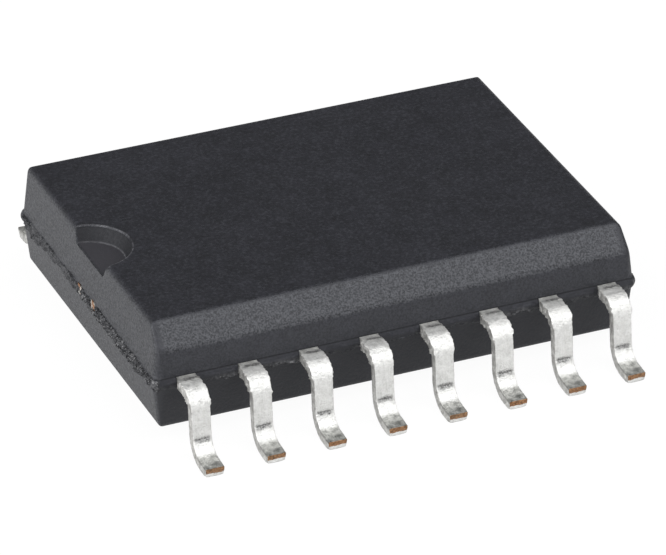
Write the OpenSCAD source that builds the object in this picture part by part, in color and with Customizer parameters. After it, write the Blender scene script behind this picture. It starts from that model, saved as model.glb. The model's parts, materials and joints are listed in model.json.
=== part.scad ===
// Wide-body small-outline integrated circuit with sixteen gull-wing leads.
// Origin: centre of the package on the board, +X along the body away from the
// notched end, lead 1 at the notched end of the -Y row, +Z up. Millimetres.

/* [Moulded body] */
// Width across the long sides at the parting line
body_w = 7.40; // [7.2:0.02:7.6]
// Body beyond the centre line of the outermost leads
end_overhang = 0.64; // [0.5:0.01:0.75]
// Height of the underside above the board
body_bottom = 0.30; // [0.1:0.01:0.34]
// Height of the top face above the board
body_top = 2.50; // [2.3:0.01:2.64]
// Lean of every side from the parting line, so that the mould lets go (degrees)
draft = 6.5; // [3:0.5:8]
// Radius of the upright corners at the parting line
corner_r = 0.20; // [0.16:0.01:0.4]
// Radius of the edges round the top face and the underside
edge_r = 0.15; // [0.05:0.01:0.16]

/* [Bevel along the lead 1 side] */
// How far the bevel cuts the top face back from the parting line
bevel_in = 0.51; // [0.45:0.01:0.8]
// How far the bevel starts below the top face
bevel_drop = 0.50; // [0.3:0.01:0.6]
// Radius that blends the bevel into the top face
bevel_r = 0.16; // [0.1:0.01:0.25]
// Radius that blends the bevel into the side below it
bevel_low_r = 0.35; // [0.15:0.01:0.45]

/* [Parting line] */
// How far the squeezed-out rim stands proud of the sides
flash_out = 0.06; // [0.02:0.01:0.09]
// Rim above and below the lead strip
flash_over = 0.03; // [0.01:0.01:0.05]

/* [Notch and ejector marks] */
// Radius of the half-round notch at the top face
notch_r = 0.90; // [0.6:0.05:1.2]
// Depth of the notch
notch_depth = 0.32; // [0.15:0.01:0.4]
// How much smaller the notch is at its floor
notch_slope = 0.13; // [0.05:0.01:0.2]
// Centre of the notch inside the end of the body
notch_from_end = 0.07; // [0:0.01:0.3]
// Diameter of each ejector-pin mark on the underside
ejector_d = 1.20; // [0.8:0.1:2]
// Depth of each ejector-pin mark
ejector_depth = 0.05; // [0.02:0.01:0.08]
// Distance between the two ejector-pin marks
ejector_pitch = 6.0; // [4:0.5:7]

/* [Lead strip] */
// Distance between neighbouring leads
pitch = 1.27; // [1.2:0.01:1.4]
// Thickness of the copper strip
strip_t = 0.20; // [0.15:0.01:0.25]
// Height of the strip's upper face above the board
strip_z = 1.46; // [1.36:0.01:1.56]
// Width of a lead outside the body
lead_w = 0.39; // [0.33:0.01:0.45]

/* [Gull-wing form] */
// Distance over the toes of the two rows
lead_span = 10.30; // [10.1:0.05:10.6]
// Flat shoulder between the body and the knee
shoulder = 0.36; // [0.3:0.01:0.45]
// Inner radius of the knee
knee_r = 0.20; // [0.15:0.01:0.25]
// Inner radius of the heel
heel_r = 0.36; // [0.25:0.01:0.42]
// Lean of the leg away from upright (degrees)
leg_lean = 5; // [2:1:8]
// Slope of the foot down to its toe (degrees)
foot_slope = 4; // [1:1:8]

/* [Dambar stubs] */
// Width over the two cut stubs of a lead
stub_w = 0.46; // [0.46:0.01:0.54]
// Where the stubs start, measured out from the body
stub_start = 0.14; // [0.12:0.01:0.2]
// How far round the knee the stubs reach (degrees)
stub_turn = 68; // [40:1:75]

/* [Fingers inside the body] */
// Width of a finger
finger_w = 0.30; // [0.25:0.01:0.34]
// Least gap between two stamped pieces
strip_gap = 0.22; // [0.18:0.01:0.26]
// Gap between the finger tips and the paddle
tip_gap = 0.35; // [0.25:0.01:0.5]
// Width of the anchor that locks a finger in the epoxy
anchor_w = 0.62; // [0.5:0.01:0.8]
// Length of the anchor
anchor_l = 0.45; // [0.3:0.05:0.6]
// Anchor's distance in from the side of the body
anchor_in = 0.30; // [0.25:0.01:0.4]
// Slope of the end fingers towards the paddle (degrees)
fan_slope = 25; // [20:1:27]
// Slanted reach of the middle fingers
fan_reach = 0.75; // [0.5:0.05:0.9]

/* [Die paddle and tie bars] */
// Length of the paddle
paddle_l = 4.00; // [3.6:0.1:4.2]
// Width of the paddle
paddle_w = 2.80; // [2.6:0.1:3]
// How far the paddle sits below the rest of the strip
downset = 0.25; // [0.2:0.01:0.35]
// Width of a tie bar
tie_w = 0.20; // [0.16:0.01:0.26]
// Distance between the two tie bars of one end
tie_pitch = 0.72; // [0.6:0.02:0.8]
// Flat of a tie bar between the paddle and its ramp
tie_flat = 0.20; // [0.1:0.05:0.4]
// Cut end of a tie bar beyond the parting rim
tie_proud = 0.02; // [0.01:0.01:0.05]

/* [Die] */
// Length of the silicon die
die_l = 3.20; // [2.6:0.1:3.4]
// Width of the silicon die
die_w = 2.00; // [1.8:0.1:2.2]
// Thickness of the silicon die
die_t = 0.28; // [0.2:0.01:0.35]
// Thickness of the die attach layer
attach_t = 0.03; // [0.02:0.01:0.05]
// Die attach that shows round the die
attach_rim = 0.06; // [0.02:0.01:0.1]

/* [Bond wires] */
// Diameter of the wire
wire_d = 0.05; // [0.03:0.005:0.06]
// Diameter of the ball bond on the die
ball_d = 0.12; // [0.1:0.01:0.14]
// Height of the ball bond
ball_h = 0.035; // [0.02:0.005:0.05]
// Straight rise of the wire above the die
wire_rise = 0.16; // [0.1:0.01:0.25]
// Radius of the wire's bend
wire_bend = 0.10; // [0.06:0.01:0.14]
// Centre of a bond from the edge of the die or of the finger tip
bond_in = 0.12; // [0.09:0.01:0.16]
// Diameter of the stitch bond on the finger
stitch_d = 0.10; // [0.08:0.01:0.14]
// Height of the stitch bond
stitch_h = 0.03; // [0.02:0.005:0.04]

/* [Hidden] */
per_side = 8;
end_fingers = 2;  // fingers at each end of a row that reach the paddle's short edge
numbers = [for (n = [1 : 2 * per_side]) n];

$fn = 48;
body_l = (per_side - 1) * pitch + 2 * end_overhang;
parting_z = strip_z - strip_t / 2;
flash_half = strip_t / 2 + flash_over;
arc_steps = 6;
eps = 0.5;  // how far cutters run past a surface

// the leg and the flat of the foot take up what the two bends leave
leg_angle = 90 - leg_lean;
knee_mid_r = knee_r + strip_t / 2;
heel_mid_r = heel_r + strip_t / 2;
toe_y = (lead_span - body_w) / 2 - shoulder - strip_t / 2 * sin(foot_slope);
drop = parting_z - strip_t / 2 * cos(foot_slope);
left_y = toe_y - knee_mid_r * sin(leg_angle) - heel_mid_r * (sin(leg_angle) - sin(foot_slope));
left_z = drop - knee_mid_r * (1 - cos(leg_angle)) - heel_mid_r * (cos(foot_slope) - cos(leg_angle));
turn = sin(leg_angle - foot_slope);
leg_l = (left_z * cos(foot_slope) - left_y * sin(foot_slope)) / turn;
foot_l = (left_y * sin(leg_angle) - left_z * cos(leg_angle)) / turn;

paddle_z = strip_z - downset;
die_top = paddle_z + attach_t + die_t;

// ---------- moulded body ----------

function unit(v) = v / norm(v);

function turned(v, a) = [v[0] * cos(a) - v[1] * sin(a), v[0] * sin(a) + v[1] * cos(a)];

// the arc of radius r that rounds the corner at b between a and c
function round_corner(a, b, c, r) =
    let (
        u = unit(a - b),
        v = unit(c - b),
        half = acos(u * v) / 2,
        centre = b + unit(u + v) * r / sin(half),
        start = b + u * r / tan(half) - centre,
        sweep = (180 - 2 * half) * sign(cross(v, u))
    )
    [for (k = [0 : arc_steps]) centre + turned(start, sweep * k / arc_steps)];

// outlines of a side as [height from the parting line, inset]
function plain_side(h) =
    let (top_edge = [h, h * tan(draft)])
    concat([[0, 0]], round_corner([0, 0], top_edge, top_edge + [0, 1], edge_r));

function bevelled_side(h) =
    let (
        low_edge = [h - bevel_drop, (h - bevel_drop) * tan(draft)],
        top_edge = [h, bevel_in]
    )
    concat(
        [[0, 0]],
        round_corner([0, 0], low_edge, top_edge, bevel_low_r),
        round_corner(low_edge, top_edge, top_edge + [0, 1], bevel_r)
    );

// one closed outline of the body: side inset, inset of the -Y side, height
function ring(side_in, front_in, z) =
    let (
        r = max(corner_r - side_in, corner_r / 6),
        x = body_l / 2 - side_in - r,
        y_back = body_w / 2 - side_in - r,
        y_front = -(body_w / 2 - front_in - r),
        centres = [[x, y_back], [-x, y_back], [-x, y_front], [x, y_front]]
    )
    [for (c = [0 : 3], k = [0 : arc_steps])
        let (a = 90 * (c + k / arc_steps))
        [centres[c][0] + r * cos(a), centres[c][1] + r * sin(a), z]];

// the rim that the epoxy leaves round the lead strip, as [height, how far out]
flash_rim = [for (k = [0 : arc_steps])
    let (a = -90 + 180 * k / arc_steps)
    [flash_half * sin(a), flash_out * cos(a)]];

// solid skin through a stack of rings that all have the same number of points
module skin(rings) {
    n = len(rings[0]);
    m = len(rings);
    sides = [for (j = [0 : m - 2], i = [0 : n - 1])
        let (k = (i + 1) % n)
        [j * n + k, j * n + i, (j + 1) * n + i, (j + 1) * n + k]];
    floor_face = [for (i = [0 : n - 1]) i];
    top_face = [for (i = [n - 1 : -1 : 0]) (m - 1) * n + i];
    polyhedron([for (r = rings) each r], concat([floor_face], sides, [top_face]));
}

module moulded_block() {
    up = body_top - parting_z;
    down = parting_z - body_bottom;
    upper_plain = plain_side(up);
    upper_front = bevelled_side(up);
    lower = plain_side(down);
    bevel_levels = [for (p = upper_front) if (p[0] > flash_half && p[0] < up - bevel_r) p[0]];
    top_levels = [for (k = [0 : arc_steps]) up - bevel_r * (1 - sin(90 * k / arc_steps))];
    skin(concat(
        [for (k = [len(lower) - 1 : -1 : 1]) ring(lower[k][1], lower[k][1], parting_z - lower[k][0])],
        [for (p = flash_rim)
            let (side_in = abs(p[0]) * tan(draft) - p[1])
            ring(side_in, side_in, parting_z + p[0])],
        [for (h = concat(bevel_levels, top_levels))
            ring(lookup(h, upper_plain), lookup(h, upper_front), parting_z + h)]
    ));
}

module notch() {
    translate([-body_l / 2 + notch_from_end, 0, body_top - notch_depth])
        cylinder(h = 2 * notch_depth, r1 = notch_r - notch_slope, r2 = notch_r + notch_slope);
}

module ejector_marks() {
    for (side = [-1, 1])
        translate([side * ejector_pitch / 2, 0, body_bottom - eps])
            cylinder(h = eps + ejector_depth, d = ejector_d);
}

// epoxy moulded round everything that it holds, so each seat is that piece's own shape
module mould_body() {
    color("#2f2f33")
    difference() {
        moulded_block();
        notch();
        ejector_marks();
        for (n = numbers) {
            in_row(n) lead_root(n);
            bond_wire_shape(n);
        }
        paddle_shape();
        attach_shape();
        die_shape();
    }
}

// ---------- leads ----------

// leads count round the package: 1 to 8 along -Y, 9 to 16 back along +Y
function place_in_row(n) = (n - 1) % per_side;
function lead_x(n) = (place_in_row(n) - (per_side - 1) / 2) * pitch;
function hand(n) = sign(lead_x(n));
function from_end(n) = min(place_in_row(n), per_side - 1 - place_in_row(n));
function on_paddle_end(n) = from_end(n) < end_fingers;

module in_row(n) {
    rotate([0, 0, n > per_side ? 180 : 0]) children();
}

// a finger's tip, and the corner where it turns towards the paddle
first_tip_y = tie_pitch / 2 + tie_w / 2 + strip_gap + finger_w / 2;
side_tip_y = paddle_w / 2 + tip_gap;
side_fan = paddle_l / 2 / (pitch * (per_side / 2 - end_fingers) + finger_w);

function tip(n) = on_paddle_end(n)
    ? [hand(n) * (paddle_l / 2 + tip_gap), -first_tip_y - from_end(n) * (strip_gap + finger_w)]
    : [lead_x(n) * side_fan, -side_tip_y];

function finger_corner(n) = on_paddle_end(n)
    ? [lead_x(n), tip(n)[1] - abs(lead_x(n) - tip(n)[0]) * tan(fan_slope)]
    : [lead_x(n), tip(n)[1] - fan_reach];

// a flat strip of one width along a path with one corner
module bent_strip(a, b, c, w) {
    u = unit(b - a);
    v = unit(c - b);
    across = turned(unit(u + v), 90) * w / 2 / cos(acos(u * v) / 2);
    first = turned(u, 90) * w / 2;
    last = turned(v, 90) * w / 2;
    polygon([a + first, b + across, c + last, c - last, b - across, a - first]);
}

module finger(n) {
    wall = [lead_x(n), -body_w / 2];
    translate([0, 0, strip_z - strip_t])
        linear_extrude(strip_t) {
            bent_strip(wall, finger_corner(n), tip(n), finger_w);
            translate([wall[0] - lead_w / 2, wall[1]])
                square([lead_w, anchor_in + anchor_l / 2]);
            translate([wall[0] - anchor_w / 2, wall[1] + anchor_in])
                square([anchor_w, anchor_l]);
        }
}

// strip forming: each step draws its piece and carries its children on to its end
module straight(l, w) {
    translate([-w / 2, 0, -strip_t]) cube([w, l, strip_t]);
    translate([0, l, 0]) children();
}

module bend_down(r, angle, w) {
    translate([0, 0, -strip_t - r]) {
        rotate([0, -90, 0])
            rotate_extrude(angle = angle)
                translate([r, -w / 2]) square([strip_t, w]);
        rotate([-angle, 0, 0]) translate([0, 0, strip_t + r]) children();
    }
}

module bend_up(r, angle, w) {
    translate([0, 0, r]) {
        rotate([0, 90, 0])
            rotate_extrude(angle = angle)
                translate([r, -w / 2]) square([strip_t, w]);
        rotate([angle, 0, 0]) translate([0, 0, -r]) children();
    }
}

module at_wall(n) {
    translate([lead_x(n), -body_w / 2, strip_z]) rotate([0, 0, 180]) children();
}

module gull_wing(n) {
    at_wall(n)
        straight(stub_start, lead_w)
        straight(shoulder - stub_start, stub_w)
        bend_down(knee_r, stub_turn, stub_w)
        bend_down(knee_r, leg_angle - stub_turn, lead_w)
        straight(leg_l, lead_w)
        bend_up(heel_r, leg_angle - foot_slope, lead_w)
        straight(foot_l, lead_w);
}

// what the epoxy closes round
module lead_root(n) {
    finger(n);
    at_wall(n) straight(stub_start, lead_w);
}

module lead(n) {
    color("#c9c9c6")
    in_row(n) {
        finger(n);
        gull_wing(n);
    }
}

// ---------- die paddle, die and wires ----------

module tie_bars() {
    ramp_start = paddle_l / 2 + tie_flat;
    cut_end = body_l / 2 + flash_out + tie_proud;
    for (end = [0, 180], side = [-1, 1])
        rotate([0, 0, end])
            translate([0, side * tie_pitch / 2 + tie_w / 2, 0])
                rotate([90, 0, 0])
                    linear_extrude(tie_w)
                        polygon([
                            [paddle_l / 4, paddle_z - strip_t],
                            [ramp_start, paddle_z - strip_t],
                            [ramp_start + downset, strip_z - strip_t],
                            [cut_end, strip_z - strip_t],
                            [cut_end, strip_z],
                            [ramp_start + downset, strip_z],
                            [ramp_start, paddle_z],
                            [paddle_l / 4, paddle_z]
                        ]);
}

module paddle_shape() {
    translate([-paddle_l / 2, -paddle_w / 2, paddle_z - strip_t])
        cube([paddle_l, paddle_w, strip_t]);
    tie_bars();
}

module die_paddle() {
    color("#b87345") paddle_shape();
}

module attach_shape() {
    l = die_l + 2 * attach_rim;
    w = die_w + 2 * attach_rim;
    translate([-l / 2, -w / 2, paddle_z]) cube([l, w, attach_t]);
}

module die_attach() {
    color("#9a9a9a") attach_shape();
}

module die_shape() {
    translate([-die_l / 2, -die_w / 2, paddle_z + attach_t]) cube([die_l, die_w, die_t]);
}

module silicon_die() {
    color("#4a4f66") die_shape();
}

// a wire runs from a pad on the die to a spot just short of its finger's tip
function die_pad(n) = on_paddle_end(n)
    ? [hand(n) * (die_l / 2 - bond_in), tip(n)[1] * (die_w / 2 - 2 * bond_in) / side_tip_y]
    : [tip(n)[0] * (die_l / 2 - 2 * bond_in) / (paddle_l / 2), -die_w / 2 + bond_in];

function finger_spot(n) = tip(n) + unit(finger_corner(n) - tip(n)) * bond_in;

// the wire leaves its ball upright, bends over and runs down at a tangent to the stitch
module bond_wire_shape(n) {
    run = finger_spot(n) - die_pad(n);
    reach = norm(run);
    to_end = [reach - wire_bend, strip_z + wire_d / 2 - die_top - wire_rise];
    far = norm(to_end);
    leave = round(100 * (atan2(to_end[1], to_end[0]) + acos(wire_bend / far))) / 100;
    in_row(n)
    translate([die_pad(n)[0], die_pad(n)[1], die_top])
    rotate([0, 0, atan2(run[1], run[0])]) {
        cylinder(h = ball_h, d = ball_d);
        cylinder(h = wire_rise, d = wire_d);
        translate([wire_bend, 0, wire_rise]) {
            rotate([90, 0, 0])
                rotate([0, 0, leave])
                    rotate_extrude(angle = 180 - leave)
                        translate([wire_bend, 0]) circle(d = wire_d);
            translate([wire_bend * cos(leave), 0, wire_bend * sin(leave)])
                rotate([0, 180 - leave, 0])
                    cylinder(h = sqrt(far * far - wire_bend * wire_bend), d = wire_d);
        }
        translate([reach, 0, strip_z - die_top]) cylinder(h = stitch_h, d = stitch_d);
    }
}

module bond_wire(n) {
    color("#d8a93a") bond_wire_shape(n);
}

mould_body();
for (n = numbers)
    lead(n);
die_paddle();
die_attach();
silicon_die();
for (n = numbers)
    bond_wire(n);
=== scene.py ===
import json
import math

import bpy
from mathutils import Matrix, Vector, noise


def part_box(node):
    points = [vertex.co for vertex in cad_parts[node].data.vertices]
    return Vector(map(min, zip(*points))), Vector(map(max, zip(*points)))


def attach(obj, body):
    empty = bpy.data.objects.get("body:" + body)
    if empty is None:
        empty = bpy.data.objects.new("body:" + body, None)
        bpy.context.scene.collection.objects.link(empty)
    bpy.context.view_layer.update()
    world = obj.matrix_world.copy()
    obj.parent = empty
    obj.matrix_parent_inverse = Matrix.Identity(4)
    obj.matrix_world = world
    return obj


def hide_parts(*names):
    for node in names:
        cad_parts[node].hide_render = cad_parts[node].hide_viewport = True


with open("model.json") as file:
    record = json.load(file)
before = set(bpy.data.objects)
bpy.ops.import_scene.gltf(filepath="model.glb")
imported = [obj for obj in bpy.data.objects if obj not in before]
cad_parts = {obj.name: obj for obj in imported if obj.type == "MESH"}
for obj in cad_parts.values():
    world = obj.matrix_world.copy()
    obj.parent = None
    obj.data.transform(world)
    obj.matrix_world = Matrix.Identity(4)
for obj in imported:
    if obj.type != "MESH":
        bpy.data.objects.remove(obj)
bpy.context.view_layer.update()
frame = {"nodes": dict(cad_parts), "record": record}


# ---- Die paddle: stamped from the same copper strip as the leads, with four tie bars that
# ---- held it in the strip until the package was cut free. Only the cut ends can be seen,
# ---- each with a smear of the tin that the cutting punch dragged over it.

MM = 0.001                # every length is in metres
COLOUR = 2                # a Mix node's colour output; its colour inputs are sockets 6 and 7
ADDEND = 2                # the number of a Multiply Add node's third input


def new_node(tree, kind, **settings):
    """A shader node with its properties set; its sockets are set or linked afterwards."""
    made = tree.nodes.new(kind)
    for name, value in settings.items():
        setattr(made, name, value)
    return made


def join(tree, source, out, target, into):
    """Links an output, by name or number, to an input, by name or number."""
    tree.links.new(source.outputs[out], target.inputs[into])


def math_node(tree, operation, first, second=None):
    """Maths on two values; each is a number or a (node, output) pair."""
    made = new_node(tree, "ShaderNodeMath", operation=operation)
    for number, value in enumerate((first, second)):
        if isinstance(value, tuple):
            join(tree, value[0], value[1], made, number)
        elif value is not None:
            made.inputs[number].default_value = value
    return made


def step_node(tree, source, out, low, high, to_low=0.0, to_high=1.0):
    """A smooth step from to_low at low to to_high at high."""
    made = new_node(tree, "ShaderNodeMapRange", interpolation_type="SMOOTHSTEP")
    made.inputs["From Min"].default_value = low
    made.inputs["From Max"].default_value = high
    made.inputs["To Min"].default_value = to_low
    made.inputs["To Max"].default_value = to_high
    join(tree, source, out, made, "Value")
    return made


def mix_node(tree, factor, first, second, blend="MIX"):
    """Mixes two colours; factor is a number or a pair, and colours are colours or pairs."""
    made = new_node(tree, "ShaderNodeMix", data_type="RGBA", blend_type=blend)
    if isinstance(factor, tuple):
        join(tree, factor[0], factor[1], made, "Factor")
    else:
        made.inputs["Factor"].default_value = factor
    for socket, value in ((6, first), (7, second)):
        if isinstance(value[0], (int, float)):
            made.inputs[socket].default_value = (*value, 1.0)
        else:
            join(tree, value[0], value[1], made, socket)
    return made


def new_group(name, inputs, outputs):
    """A shader node group with float or vector inputs and float outputs."""
    group = bpy.data.node_groups.new(name, "ShaderNodeTree")
    for label, kind in inputs:
        group.interface.new_socket(label, in_out="INPUT", socket_type=kind)
    for label in outputs:
        group.interface.new_socket(label, in_out="OUTPUT", socket_type="NodeSocketFloat")
    return group, new_node(group, "NodeGroupInput"), new_node(group, "NodeGroupOutput")


def placed_group(tree, group, place, coords, **values):
    """A group placed in a material, with its own values; underscores stand for spaces."""
    made = new_node(tree, "ShaderNodeGroup", node_tree=group)
    join(tree, place, coords, made, "Vector")
    for name, value in values.items():
        made.inputs[name.replace("_", " ")].default_value = value
    return made


# fine grain: how pale each spot is, and how high
grain, given, result = new_group(
    "fine_grain",
    [("Vector", "NodeSocketVector"), ("Grains per Metre", "NodeSocketFloat"),
     ("Sharpness", "NodeSocketFloat")],
    ["Shade", "Height"])
clouds = new_node(grain, "ShaderNodeTexNoise")
clouds.inputs["Detail"].default_value = 5
clouds.inputs["Roughness"].default_value = 0.62
join(grain, given, "Vector", clouds, "Vector")
join(grain, given, "Grains per Metre", clouds, "Scale")
centred = math_node(grain, "SUBTRACT", (clouds, "Fac"), 0.5)
steeper = math_node(grain, "MULTIPLY", (centred, "Value"))
join(grain, given, "Sharpness", steeper, 1)
shade = math_node(grain, "ADD", (steeper, "Value"), 0.5)
shade.use_clamp = True
join(grain, shade, "Value", result, "Shade")
join(grain, clouds, "Fac", result, "Height")

# loose specks: 1 on a speck, 0 between specks
specks, given, result = new_group(
    "specks",
    [("Vector", "NodeSocketVector"), ("Specks per Metre", "NodeSocketFloat"),
     ("Threshold", "NodeSocketFloat")],
    ["Mask"])
dots = new_node(specks, "ShaderNodeTexNoise")
dots.inputs["Detail"].default_value = 2
dots.inputs["Roughness"].default_value = 0.5
join(specks, given, "Vector", dots, "Vector")
join(specks, given, "Specks per Metre", dots, "Scale")
above = math_node(specks, "SUBTRACT", (dots, "Fac"))
join(specks, given, "Threshold", above, 1)
SPECK_EDGE = 14.0         # how sharply a speck ends
crisp = math_node(specks, "MULTIPLY", (above, "Value"), SPECK_EDGE)
crisp.use_clamp = True
join(specks, crisp, "Value", result, "Mask")


def new_material(name, metallic, roughness):
    """A material, its tree, its Principled shader and its texture coordinates."""
    made = bpy.data.materials.new(name)
    made.use_nodes = True
    tree = made.node_tree
    shader = tree.nodes["Principled BSDF"]
    shader.inputs["Metallic"].default_value = metallic
    shader.inputs["Roughness"].default_value = roughness
    return made, tree, shader, new_node(tree, "ShaderNodeTexCoord")


def bump(tree, shader, source, out, depth):
    """Bumps the shader's normal by a height of 0 to 1 times this depth in metres."""
    made = new_node(tree, "ShaderNodeBump")
    made.inputs["Distance"].default_value = depth
    join(tree, source, out, made, "Height")
    join(tree, made, "Normal", shader, "Normal")


def dress(name, finish):
    """Gives a CAD node that stays in view its finish."""
    slots = frame["nodes"][name].data.materials
    slots.clear()
    slots.append(finish)


MERGE_WITHIN = 1e-7       # corners this close are one corner
ON_PLANE = 1e-8           # a corner this close to a cut lies on it


def cut_copy(node, name, planes):
    """A merged copy of a CAD node's mesh, cut off flat at each (point, outward normal).
    It is left selected."""
    piece = bpy.data.objects.new(name, frame["nodes"][node].data.copy())
    bpy.context.collection.objects.link(piece)
    bpy.ops.object.select_all(action="DESELECT")
    piece.select_set(True)
    bpy.context.view_layer.objects.active = piece
    bpy.ops.object.mode_set(mode="EDIT")
    bpy.ops.mesh.select_all(action="SELECT")
    bpy.ops.mesh.remove_doubles(threshold=MERGE_WITHIN)
    for point, outward in planes:
        bpy.ops.mesh.select_all(action="SELECT")
        bpy.ops.mesh.bisect(plane_co=point, plane_no=outward, threshold=ON_PLANE,
                            clear_outer=True, use_fill=True)
    bpy.ops.object.mode_set(mode="OBJECT")
    return piece


RIM = 0.06 * MM           # the parting rim stands this far out of the body's sides
CUT_INSIDE = 0.004 * MM   # the tie bars are cut off this far inside the end walls
TIE_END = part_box("mould_body")[1][0] - RIM - CUT_INSIDE
DARK_COPPER = (0.20, 0.085, 0.040)
BRIGHT_COPPER = (0.62, 0.33, 0.17)
DRAGGED_TIN = (0.62, 0.61, 0.57)
STUCK_EPOXY = (0.020, 0.020, 0.024)

cut_copper, tree, shader, place = new_material("cut_copper", 0.85, 0.45)
rolled = placed_group(tree, grain, place, "Object", Grains_per_Metre=16000, Sharpness=2.2)
copper_tone = mix_node(tree, (rolled, "Shade"), DARK_COPPER, BRIGHT_COPPER)
smear = placed_group(tree, specks, place, "Object", Specks_per_Metre=7000, Threshold=0.50)
dragged = mix_node(tree, (smear, "Mask"), (copper_tone, COLOUR), DRAGGED_TIN)
stuck = placed_group(tree, specks, place, "Object", Specks_per_Metre=8200, Threshold=0.53)
smudged = mix_node(tree, (stuck, "Mask"), (dragged, COLOUR), STUCK_EPOXY)
join(tree, smudged, COLOUR, shader, "Base Color")
bump(tree, shader, rolled, "Height", 0.03 * MM)
paddle = cut_copy("die_paddle", "die_paddle_cut", [((-TIE_END, 0, 0), (-1, 0, 0)),
                                                    ((TIE_END, 0, 0), (1, 0, 0))])
paddle.data.materials.clear()
paddle.data.materials.append(cut_copper)
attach(paddle, "root")
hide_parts("die_paddle")


# ---- Die attach: silver-filled epoxy, dispensed on the paddle and cured under the die.
# ---- It squeezes out a little all round.

BETWEEN_FLAKES = (0.30, 0.30, 0.29)
SILVER_FLAKE = (0.72, 0.72, 0.70)

silver_glue, tree, shader, place = new_material("silver_filled_epoxy", 0.35, 0.6)
flakes = placed_group(tree, grain, place, "Object", Grains_per_Metre=42000, Sharpness=3.0)
flake_tone = mix_node(tree, (flakes, "Shade"), BETWEEN_FLAKES, SILVER_FLAKE)
join(tree, flake_tone, COLOUR, shader, "Base Color")
bump(tree, shader, flakes, "Height", 0.008 * MM)
dress("die_attach", silver_glue)


# ---- Silicon die: sawn from a polished wafer and set on the attach layer. Rows of circuit
# ---- blocks show through its clear nitride coat, with the saw's fine scratches over them.

BLUE_BLOCK = (0.060, 0.075, 0.120, 1)
VIOLET_BLOCK = (0.100, 0.085, 0.150, 1)
METAL_TRACK = (0.35, 0.34, 0.32, 1)
SCRATCH_SHARE = 0.25

silicon, tree, shader, place = new_material("silicon", 0.2, 0.18)
shader.inputs["Coat Weight"].default_value = 0.6
blocks = new_node(tree, "ShaderNodeTexBrick", offset=0.35)
blocks.inputs["Scale"].default_value = 5200
blocks.inputs["Mortar Size"].default_value = 0.03
blocks.inputs["Color1"].default_value = BLUE_BLOCK
blocks.inputs["Color2"].default_value = VIOLET_BLOCK
blocks.inputs["Mortar"].default_value = METAL_TRACK
join(tree, place, "Object", blocks, "Vector")
scratches = placed_group(tree, grain, place, "Object", Grains_per_Metre=30000, Sharpness=1.5)
die_tone = mix_node(tree, SCRATCH_SHARE, (blocks, "Color"), (scratches, "Shade"), "OVERLAY")
join(tree, die_tone, COLOUR, shader, "Base Color")
bump(tree, shader, blocks, "Fac", 0.001 * MM)
dress("silicon_die", silicon)


# ---- Bond wires: drawn gold, balled on the die by a spark, looped over and pressed on the
# ---- lead fingers. Faint draw lines run round them.

DEEP_GOLD = (0.72, 0.47, 0.13)
BRIGHT_GOLD = (0.98, 0.74, 0.32)

gold, tree, shader, place = new_material("drawn_gold", 1.0, 0.24)
drawn = placed_group(tree, grain, place, "Object", Grains_per_Metre=60000, Sharpness=1.6)
gold_tone = mix_node(tree, (drawn, "Shade"), DEEP_GOLD, BRIGHT_GOLD)
join(tree, gold_tone, COLOUR, shader, "Base Color")
bump(tree, shader, drawn, "Height", 0.002 * MM)
for name in frame["nodes"]:
    if name.startswith("bond_wire_"):
        dress(name, gold)


# ---- Leads: stamped from 0.2 mm copper strip, plated with matt tin, cut free from the
# ---- dambar between them and formed over a tool into gull wings. Lead 1 is at the notched
# ---- end of the bevelled side, and the numbers run round the package.

LEAD_W = 0.39 * MM
STRIP_T = 0.20 * MM
SHOULDER = 0.36 * MM
KNEE_MID = 0.30 * MM      # bend radii at the middle of the strip
HEEL_MID = 0.46 * MM
LEG_ANGLE = math.radians(85)
FOOT_SLOPE = math.radians(4)
STUB_OUT = 0.035 * MM     # a dambar stub stands this far out of the lead's side
STUB_START = 0.10 * MM
STUB_TURN = math.radians(68)

body_low, body_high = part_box("mould_body")
lead_low, lead_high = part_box("lead_1")
WALL = -body_low[1] - RIM
SPAN = -lead_low[1]
STRIP_TOP = lead_high[2]

# the leg and the foot take up what the bends leave, as they do in the tool
out_left = (SPAN - WALL - SHOULDER - STRIP_T / 2 * math.sin(FOOT_SLOPE)
            - KNEE_MID * math.sin(LEG_ANGLE)
            - HEEL_MID * (math.sin(LEG_ANGLE) - math.sin(FOOT_SLOPE)))
down_left = (STRIP_TOP - STRIP_T / 2 - STRIP_T / 2 * math.cos(FOOT_SLOPE)
             - KNEE_MID * (1 - math.cos(LEG_ANGLE))
             - HEEL_MID * (math.cos(FOOT_SLOPE) - math.cos(LEG_ANGLE)))
lean = math.sin(LEG_ANGLE - FOOT_SLOPE)
LEG = (down_left * math.cos(FOOT_SLOPE) - out_left * math.sin(FOOT_SLOPE)) / lean
FOOT = (out_left * math.sin(LEG_ANGLE) - down_left * math.cos(LEG_ANGLE)) / lean

# each step of the form: length along the middle of the strip, and how far it turns down
FORM = [
    (SHOULDER, 0.0),
    (KNEE_MID * LEG_ANGLE, LEG_ANGLE),
    (LEG, 0.0),
    (HEEL_MID * (LEG_ANGLE - FOOT_SLOPE), -(LEG_ANGLE - FOOT_SLOPE)),
    (FOOT, 0.0),
]
BLANK = sum(length for length, angle in FORM)
HEEL_START = FORM[0][0] + FORM[1][0] + FORM[2][0]
HEEL_END = HEEL_START + FORM[3][0]
STUB_END = SHOULDER + KNEE_MID * STUB_TURN
PUNCH = HEEL_START + 0.09 * MM    # where the forming punch's edge pressed


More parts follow.
